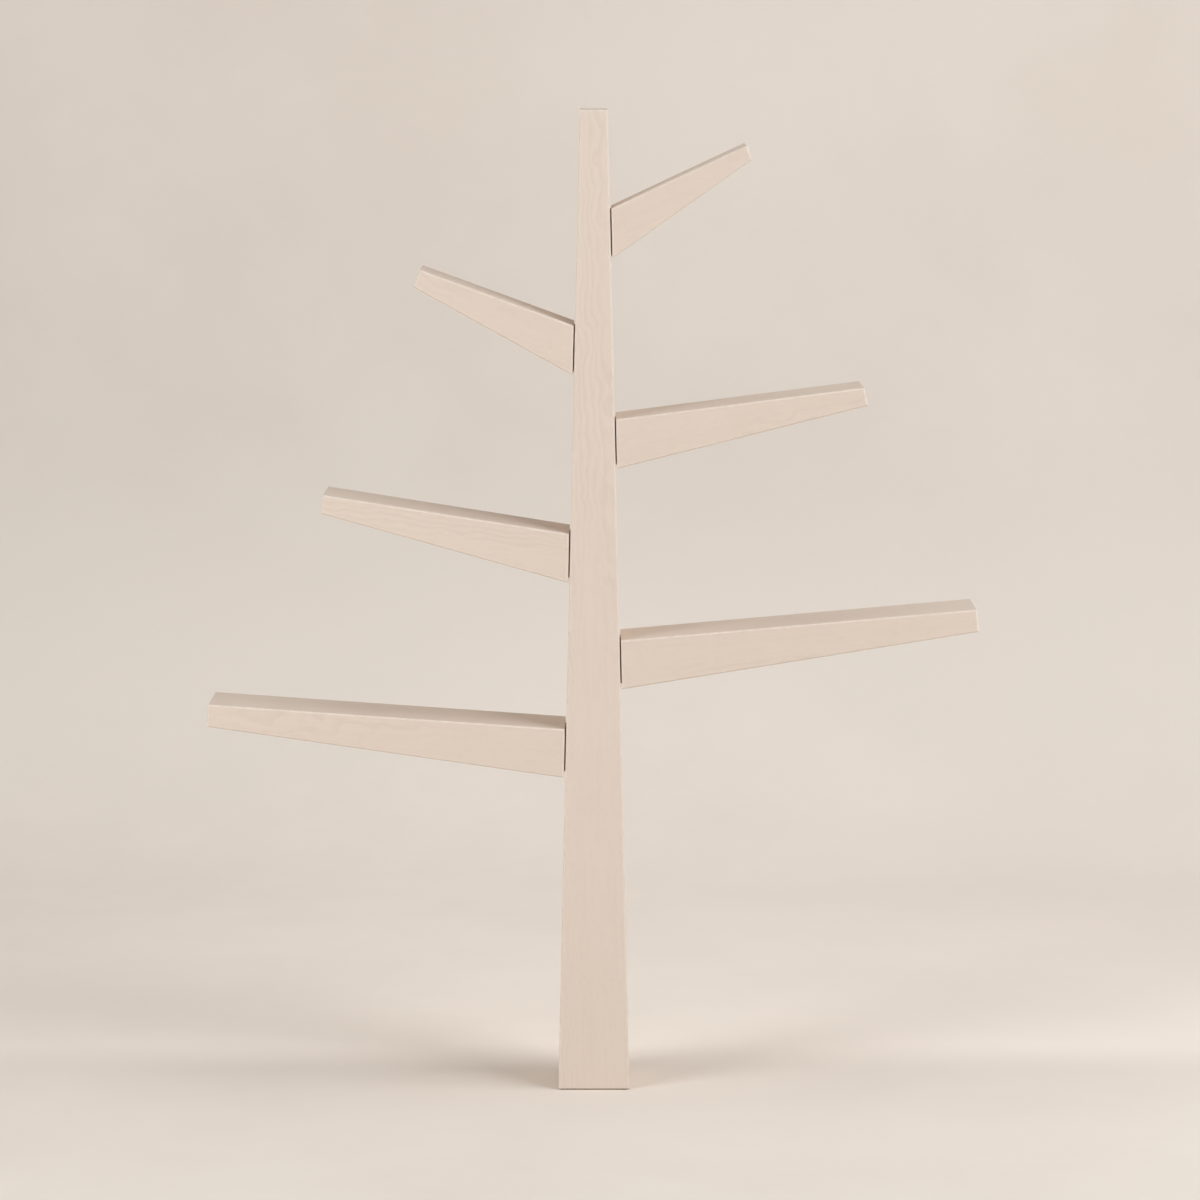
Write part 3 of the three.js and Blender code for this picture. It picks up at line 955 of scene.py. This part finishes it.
for branchName in branches:
    makeBolt(branchName, hardwarePlan)
    makeBarrelNut(branchName, hardwarePlan)
for plateName in ("upper", "lower"):
    makePlate(plateName, platePlan)
    for endName in ("_top", "_bottom"):
        makeScrew("hanger_screw_" + plateName + endName, hardwarePlan)
print("hardware ready")


# Floor and backdrop in one sweep

sweepPlan = {
    "halfWidth": 14.0,
    "frontEdge": -12.0,
    "bend": 1.7,  # where the floor starts to rise
    "bendRadius": 1.6,
    "bendSteps": 24,
    "floorFacing": 0.99,  # the least height of the normal of a face that is floor
    "height": 7.0,
    "colour": colour(0.795, 0.706, 0.615),
    "paintedLightColour": colour(0.985, 0.885, 0.778),  # painted light: paler behind the object, where floor and backdrop meet
    "paintedLightRight": colour(0.945, 0.845, 0.742),  # the same painted light, weaker to the object's right, where the lamps light it more
    "cloudColour": colour(0.870, 0.790, 0.697),
    "paintedLightStart": (0.05, 0.30),  # from and to which depth the painted light comes in
    "lowEnd": (0.0, 0.9),  # from and to which height it goes out again
    "rightStart": (-0.2, 1.0),  # from where to where it turns into the one on the right
    "cloudScale": 1.3,
    "cloudEdges": (0.3, 0.7),
    "cloudDepth": 0.5,
    "roughness": 0.9,
}


def nextRow(bm, edges, shift):
    # Grows the sweep by one row of faces, and returns the new outer edges.
    grown = bmesh.ops.extrude_edge_only(bm, edges=edges)["geom"]
    verts = [v for v in grown if isinstance(v, bmesh.types.BMVert)]
    bmesh.ops.translate(bm, verts=verts, vec=shift)
    return [e for e in grown if isinstance(e, bmesh.types.BMEdge) and all(v in verts for v in e.verts)]


def makeSweep(plan):
    bm = bmesh.new()
    ends = [bm.verts.new((x, plan["frontEdge"], 0)) for x in (-plan["halfWidth"], plan["halfWidth"])]
    edges = nextRow(bm, [bm.edges.new(ends)], (0, plan["bend"] - plan["frontEdge"], 0))
    spun = bmesh.ops.spin(bm, geom=edges, cent=(0, plan["bend"], plan["bendRadius"]), axis=(1, 0, 0),
                          angle=math.radians(90), steps=plan["bendSteps"], use_merge=False,
                          use_duplicate=False)
    edges = [e for e in spun["geom_last"] if isinstance(e, bmesh.types.BMEdge)]
    nextRow(bm, edges, (0, 0, plan["height"] - plan["bendRadius"]))
    bmesh.ops.recalc_face_normals(bm, faces=bm.faces)
    floor = next(f for f in bm.faces if abs(f.normal.z) > plan["floorFacing"])
    if floor.normal.z < 0:
        bmesh.ops.reverse_faces(bm, faces=bm.faces)
    sweep = newPiece("sweep", bm, makeSweepPaint(plan))
    sweep.data.shade_smooth()


def makeSweepPaint(plan):
    material, tree, shader = newMaterial("paleSweep")
    place = addNode(tree, "ShaderNodeTexCoord").outputs["Object"]
    axes = addNode(tree, "ShaderNodeSeparateXYZ")
    link(tree, place, axes.inputs[0])
    # Painted light: the sweep is paler low down behind the object, a little less so to the right.
    comesIn = spread(tree, axes.outputs["Y"], *plan["paintedLightStart"])
    goesOut = spread(tree, axes.outputs["Z"], *plan["lowEnd"], 1.0, 0.0)
    toRight = spread(tree, axes.outputs["X"], *plan["rightStart"])
    low = mixColour(tree, toRight, plan["paintedLightColour"], plan["paintedLightRight"])
    base = mixColour(tree, math2(tree, "MULTIPLY", comesIn, goesOut), plan["colour"], low)
    cloudNoise = noise(tree, place, plan["cloudScale"], detail=5.0, roughness=0.6)["Fac"]
    clouds = spread(tree, cloudNoise, *plan["cloudEdges"], 0.0, plan["cloudDepth"])
    link(tree, mixColour(tree, clouds, base, plan["cloudColour"]), shader.inputs["Base Color"])
    shader.inputs["Roughness"].default_value = plan["roughness"]
    # Seen from behind, the sweep lets the object show.
    clear = addNode(tree, "ShaderNodeBsdfTransparent")
    choice = addNode(tree, "ShaderNodeMixShader")
    link(tree, addNode(tree, "ShaderNodeNewGeometry").outputs["Backfacing"], choice.inputs[0])
    link(tree, shader.outputs[0], choice.inputs[1])
    link(tree, clear.outputs[0], choice.inputs[2])
    link(tree, choice.outputs[0], tree.nodes["Material Output"].inputs["Surface"])
    return material


makeSweep(sweepPlan)


# Light. Azimuth is measured round the object from the camera's side, towards the right.

lampPlans = {
    "keyPanel": {"azimuth": 50, "elevation": 38, "distance": 6.0, "size": 3.0, "watts": 121},
    "topPanel": {"azimuth": 0, "elevation": 89, "distance": 5.0, "size": 3.0, "watts": 42},
    "rightPanel": {"azimuth": 80, "elevation": 18, "distance": 5.0, "size": 1.5, "watts": 69},
    "rightFrontPanel": {"azimuth": 50, "elevation": 15, "distance": 4.6, "size": 2.2, "watts": 28},
    "leftFrontPanel": {"azimuth": -50, "elevation": 15, "distance": 4.6, "size": 2.2, "watts": 114},
}
worldPlan = {
    "fill": colour(1.0, 1.0, 1.0),
    "fillStrength": 0.15,
    "seen": colour(0.80, 0.73, 0.66),  # what the camera, metal and glass see past the sweep
    "seenStrength": 1.0,
}
lampColour = (0.96, 1.0, 1.06)


def placeLamp(name, plan):
    data = bpy.data.lights.new(name, "AREA")
    data.shape = "SQUARE"
    data.size = plan["size"]
    data.energy = plan["watts"]
    data.color = lampColour
    lamp = bpy.data.objects.new(name, data)
    bpy.context.scene.collection.objects.link(lamp)
    azimuth, elevation = math.radians(plan["azimuth"]), math.radians(plan["elevation"])
    level = math.cos(elevation)
    towards = Vector((math.sin(azimuth) * level, -math.cos(azimuth) * level, math.sin(elevation)))
    centre = Vector((0, 0, trunkHigh.z / 2))
    lamp.location = centre + plan["distance"] * towards
    lamp.rotation_euler = towards.to_track_quat("Z", "Y").to_euler()
    lamp.visible_camera = False


def lightWorld(plan):
    world = bpy.data.worlds.new("studio")
    world.use_nodes = True
    tree = world.node_tree
    fill = tree.nodes["Background"]
    feed(tree, fill, Color=plan["fill"], Strength=plan["fillStrength"])
    seen = addNode(tree, "ShaderNodeBackground")
    feed(tree, seen, Color=plan["seen"], Strength=plan["seenStrength"])
    rays = addNode(tree, "ShaderNodeLightPath").outputs
    direct = math2(tree, "MAXIMUM", rays["Is Camera Ray"], rays["Is Glossy Ray"])
    direct = math2(tree, "MAXIMUM", direct, rays["Is Transmission Ray"])
    choice = addNode(tree, "ShaderNodeMixShader")
    link(tree, direct, choice.inputs[0])
    link(tree, fill.outputs[0], choice.inputs[1])
    link(tree, seen.outputs[0], choice.inputs[2])
    link(tree, choice.outputs[0], tree.nodes["World Output"].inputs["Surface"])
    bpy.context.scene.world = world


for lampName, lampPlan in lampPlans.items():
    placeLamp(lampName, lampPlan)
lightWorld(worldPlan)
bpy.context.scene.view_settings.view_transform = "Standard"
print("stage ready")
